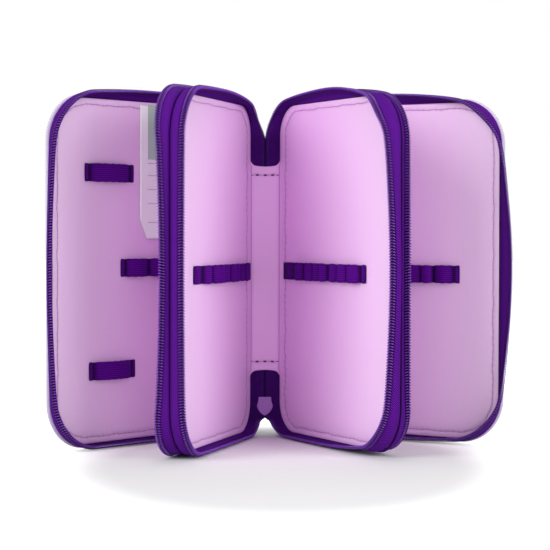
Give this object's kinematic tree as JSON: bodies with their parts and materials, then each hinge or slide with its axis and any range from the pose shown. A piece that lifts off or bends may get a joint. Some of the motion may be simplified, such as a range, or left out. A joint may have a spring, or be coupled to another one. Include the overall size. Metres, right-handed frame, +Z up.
{
  "type": "pencil case",
  "caption": "Zip-round pencil case that fans open on its spine: padded covers and lined dividers, each compartment with its own zip, slider and elastic pencil loops.",
  "frame": {"origin": "centre of the bounding box in plan, on the surface that the standing case's zip rims rest on", "axes": "+Z up along the folds, +X to the right of someone looking into the open compartments, which open towards -Y; the spine is towards +Y"},
  "size_m": [0.256, 0.1466, 0.2027],
  "materials": {
    "lining": "smooth lilac lining cloth with a faint sheen",
    "outer_fabric": "pale lilac woven outer cloth",
    "zip_tape": "dark purple herringbone zip tape",
    "zip_teeth": "dark purple nylon coil",
    "elastic": "dark purple ribbed elastic",
    "board": "plain grey board",
    "label": "white satin ribbon",
    "slider": "lilac enamel, semi-gloss"
  },
  "bodies": {
    "middle_spine": {"middle_spine_lining": "lining", "middle_spine_outer_fabric": "outer_fabric", "middle_spine_top_zip_tape": "zip_tape", "middle_spine_bottom_zip_tape": "zip_tape", "middle_spine_top_zip_teeth": "zip_teeth", "middle_spine_bottom_zip_teeth": "zip_teeth"},
    "left_divider": {"left_divider_inner_lining": "lining", "left_divider_inner_zip_tape": "zip_tape", "left_divider_inner_zip_teeth": "zip_teeth", "left_divider_inner_loops": "elastic", "left_divider_board": "board", "left_divider_outer_lining": "lining", "left_divider_outer_zip_tape": "zip_tape", "left_divider_outer_zip_teeth": "zip_teeth", "left_divider_outer_loops": "elastic"},
    "left_spine": {"left_spine_lining": "lining", "left_spine_outer_fabric": "outer_fabric", "left_spine_top_zip_tape": "zip_tape", "left_spine_bottom_zip_tape": "zip_tape", "left_spine_top_zip_teeth": "zip_teeth", "left_spine_bottom_zip_teeth": "zip_teeth"},
    "left_cover": {"left_cover_lining": "lining", "left_cover_zip_tape": "zip_tape", "left_cover_zip_teeth": "zip_teeth", "left_cover_top_loop": "elastic", "left_cover_middle_loops": "elastic", "left_cover_bottom_loop": "elastic", "left_cover_board": "board", "left_cover_outer_fabric": "outer_fabric", "left_cover_label": "label"},
    "right_divider": {"right_divider_inner_lining": "lining", "right_divider_inner_zip_tape": "zip_tape", "right_divider_inner_zip_teeth": "zip_teeth", "right_divider_inner_loops": "elastic", "right_divider_board": "board", "right_divider_outer_lining": "lining", "right_divider_outer_zip_tape": "zip_tape", "right_divider_outer_zip_teeth": "zip_teeth", "right_divider_outer_loops": "elastic"},
    "right_spine": {"right_spine_lining": "lining", "right_spine_outer_fabric": "outer_fabric", "right_spine_top_zip_tape": "zip_tape", "right_spine_bottom_zip_tape": "zip_tape", "right_spine_top_zip_teeth": "zip_teeth", "right_spine_bottom_zip_teeth": "zip_teeth"},
    "right_cover": {"right_cover_lining": "lining", "right_cover_zip_tape": "zip_tape", "right_cover_zip_teeth": "zip_teeth", "right_cover_loops": "elastic", "right_cover_board": "board", "right_cover_outer_fabric": "outer_fabric"},
    "middle_slider": {"middle_spine_zip_slider": "slider"},
    "left_slider": {"left_spine_zip_slider": "slider"},
    "right_slider": {"right_spine_zip_slider": "slider"},
    "middle_pull": {"middle_spine_zip_pull": "slider"},
    "left_pull": {"left_spine_zip_pull": "slider"},
    "right_pull": {"right_spine_zip_pull": "slider"}
  },
  "joints": [
    {"name": "left_divider_fold", "type": "hinge", "parent": "middle_spine", "child": "left_divider", "pos_m": [-0.01834, 0.05625, 0.1], "axis": [0, 0, 1], "range_deg": [-47, 18]},
    {"name": "left_spine_fold", "type": "hinge", "parent": "left_divider", "child": "left_spine", "pos_m": [-0.0212, 0.05717, 0.1], "axis": [0, 0, 1], "range_deg": [-24, 6]},
    {"name": "left_cover_fold", "type": "hinge", "parent": "left_spine", "child": "left_cover", "pos_m": [-0.037, 0.06421, 0.1], "axis": [0, 0, 1], "range_deg": [-71, 19]},
    {"name": "right_divider_fold", "type": "hinge", "parent": "middle_spine", "child": "right_divider", "pos_m": [-0.00104, 0.05625, 0.1], "axis": [0, 0, 1], "range_deg": [-28.5, 36.5]},
    {"name": "right_spine_fold", "type": "hinge", "parent": "right_divider", "child": "right_spine", "pos_m": [0.00159, 0.05768, 0.1], "axis": [0, 0, 1], "range_deg": [-21.5, 8.5]},
    {"name": "right_cover_fold", "type": "hinge", "parent": "right_spine", "child": "right_cover", "pos_m": [0.01271, 0.07093, 0.1], "axis": [0, 0, 1], "range_deg": [-7.8, 82.2]},
    {"name": "middle_slider_travel", "type": "slide", "parent": "middle_spine", "child": "middle_slider", "axis": [0, 0, 1], "range_m": [0, 0.014]},
    {"name": "middle_pull_swing", "type": "hinge", "parent": "middle_slider", "child": "middle_pull", "pos_m": [-0.00969, 0.06112, 0.01679], "axis": [-1, 0, 0], "range_deg": [0, 175]},
    {"name": "left_slider_travel", "type": "slide", "parent": "left_spine", "child": "left_slider", "axis": [0, 0, 1], "range_m": [0, 0.014]},
    {"name": "left_pull_swing", "type": "hinge", "parent": "left_slider", "child": "left_pull", "pos_m": [-0.02712, 0.06514, 0.01679], "axis": [-0.9136, 0.4067, 0], "range_deg": [0, 175]},
    {"name": "right_slider_travel", "type": "slide", "parent": "right_spine", "child": "right_slider", "axis": [0, 0, 1], "range_m": [0, 0.014]},
    {"name": "right_pull_swing", "type": "hinge", "parent": "right_slider", "child": "right_pull", "pos_m": [0.00342, 0.06744, 0.01679], "axis": [0.6428, 0.766, 0], "range_deg": [-175, 0]}
  ]
}
